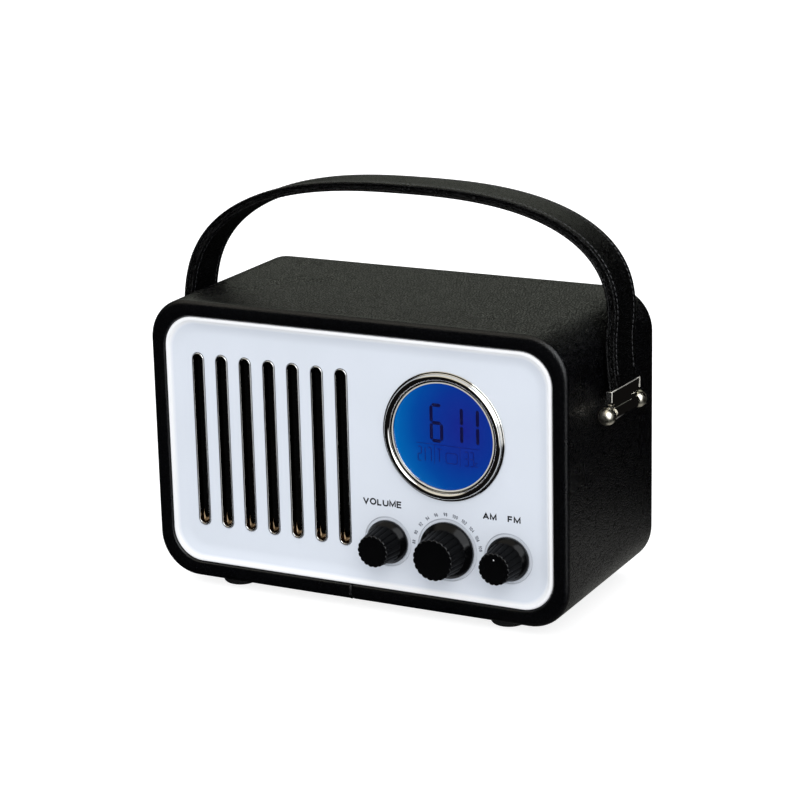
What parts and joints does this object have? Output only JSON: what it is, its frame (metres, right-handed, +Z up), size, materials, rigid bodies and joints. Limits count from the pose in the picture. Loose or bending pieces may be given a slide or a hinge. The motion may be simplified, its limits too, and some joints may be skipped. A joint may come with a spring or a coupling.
{
  "type": "leather portable radio",
  "caption": "Black leather-wrapped portable radio with a white front, slotted speaker grille, round blue clock display, fluted knobs and an arched leather carrying handle.",
  "frame": {"origin": "on the surface the feet stand on, under the middle of the whole radio's box", "axes": "+X to the right as seen from the front, +Y from the front into the cabinet, +Z up"},
  "size_m": [0.239, 0.1256, 0.1997],
  "materials": {
    "leather_black": "fine-grained black leather over board, soft sheen",
    "wood_fibre": "raw fibre board",
    "gloss_white": "glossy moulded plastic, cool white",
    "chrome": "polished chrome plating",
    "grille_cloth": "open black cloth",
    "steel": "zinc-plated steel",
    "paper_cone": "pressed paper, dark",
    "clear_window": "clear flat window",
    "display_blue": "blue backlit display cell",
    "light_guide": "milky light guide",
    "circuit_board": "green solder mask",
    "knob_black": "black moulded plastic, satin gloss",
    "black_plastic": "fine-textured black plastic",
    "ferrite": "dark grey ceramic",
    "copper_wire": "enamelled copper winding",
    "brass": "turned brass",
    "rubber": "matt black rubber",
    "ink_dark": "printed dark grey lettering",
    "ink_grey": "printed pale grey scale marks",
    "thread_black": "waxed black stitching thread",
    "ink_white": "white pointer dot"
  },
  "bodies": {
    "cabinet": {"aerial_coil": "copper_wire", "antenna_seat": "chrome", "audio_jack": "black_plastic", "back_cover": "black_plastic", "band_switch": "steel", "battery_box": "black_plastic", "battery_contact_left": "steel", "battery_contact_right": "steel", "cabinet_shell": "wood_fibre", "cover_screw_lower_left": "steel", "cover_screw_lower_right": "steel", "cover_screw_upper_left": "steel", "cover_screw_upper_right": "steel", "display_backlight": "light_guide", "display_bezel": "chrome", "display_board": "circuit_board", "display_glass": "display_blue", "display_lens": "clear_window", "ferrite_rod": "ferrite", "foot_front_left": "rubber", "foot_front_right": "rubber", "foot_rear_left": "rubber", "foot_rear_right": "rubber", "front_panel": "gloss_white", "grille_cloth": "grille_cloth", "grille_insert": "chrome", "handle_bushing_left": "steel", "handle_bushing_right": "steel", "leather_wrap": "leather_black", "main_board": "circuit_board", "power_jack": "black_plastic", "speaker_basket": "steel", "speaker_cone": "paper_cone", "speaker_magnet": "ferrite", "tuning_capacitor": "steel", "volume_control": "steel"},
    "handle": {"strap_outer": "leather_black", "strap_core": "black_plastic", "strap_lining": "leather_black", "clip_left": "chrome", "clip_right": "chrome", "handle_pin_left": "chrome", "handle_pin_right": "chrome", "handle_post_left": "steel", "handle_post_right": "steel"},
    "volume": {"volume_knob": "knob_black", "volume_shaft": "brass"},
    "tuning": {"tuning_knob": "knob_black", "tuning_shaft": "brass"},
    "band": {"band_knob": "knob_black", "band_shaft": "brass"},
    "mode_button": {"mode_button": "knob_black"},
    "set_button": {"set_button": "knob_black"},
    "down_button": {"down_button": "knob_black"},
    "up_button": {"up_button": "knob_black"},
    "battery_door": {"battery_door": "black_plastic"},
    "antenna_knuckle": {"antenna_knuckle": "chrome"},
    "antenna_outer": {"antenna_tube_outer": "chrome"},
    "antenna_middle": {"antenna_tube_middle": "chrome"},
    "antenna_inner": {"antenna_tube_inner": "chrome"}
  },
  "joints": [
    {"name": "handle_swing", "type": "hinge", "parent": "cabinet", "child": "handle", "pos_m": [0, 0.0029, 0.1], "axis": [1, 0, 0], "range_deg": [-32, 36]},
    {"name": "volume_turn", "type": "hinge", "parent": "cabinet", "child": "volume", "pos_m": [0.0157, -0.0496, 0.036], "axis": [0, -1, 0], "range_deg": [-150, 150]},
    {"name": "tuning_turn", "type": "hinge", "parent": "cabinet", "child": "tuning", "pos_m": [0.047, -0.0496, 0.036], "axis": [0, -1, 0], "range_deg": [-90, 90]},
    {"name": "band_turn", "type": "hinge", "parent": "cabinet", "child": "band", "pos_m": [0.0784, -0.0496, 0.036], "axis": [0, -1, 0], "range_deg": [0, 30]},
    {"name": "mode_press", "type": "slide", "parent": "cabinet", "child": "mode_button", "axis": [0, -1, 0], "range_m": [0, 0.001], "stiffness_N_per_m": 400},
    {"name": "set_press", "type": "slide", "parent": "cabinet", "child": "set_button", "axis": [0, -1, 0], "range_m": [0, 0.001], "stiffness_N_per_m": 400},
    {"name": "down_press", "type": "slide", "parent": "cabinet", "child": "down_button", "axis": [0, -1, 0], "range_m": [0, 0.001], "stiffness_N_per_m": 400},
    {"name": "up_press", "type": "slide", "parent": "cabinet", "child": "up_button", "axis": [0, -1, 0], "range_m": [0, 0.001], "stiffness_N_per_m": 400},
    {"name": "battery_door_pull", "type": "slide", "parent": "cabinet", "child": "battery_door", "axis": [0, 1, 0], "range_m": [0, 0.03]},
    {"name": "antenna_swivel", "type": "hinge", "parent": "cabinet", "child": "antenna_knuckle", "pos_m": [-0.076, 0.0556, 0.1168], "axis": [0, -1, 0], "range_deg": [0, 180]},
    {"name": "antenna_tilt", "type": "hinge", "parent": "antenna_knuckle", "child": "antenna_outer", "pos_m": [-0.076, 0.06, 0.1168], "axis": [0, 0, 1], "range_deg": [0, 90]},
    {"name": "antenna_middle_slide", "type": "slide", "parent": "antenna_outer", "child": "antenna_middle", "axis": [1, 0, 0], "range_m": [0, 0.125]},
    {"name": "antenna_inner_slide", "type": "slide", "parent": "antenna_middle", "child": "antenna_inner", "axis": [1, 0, 0], "range_m": [0, 0.125]}
  ]
}
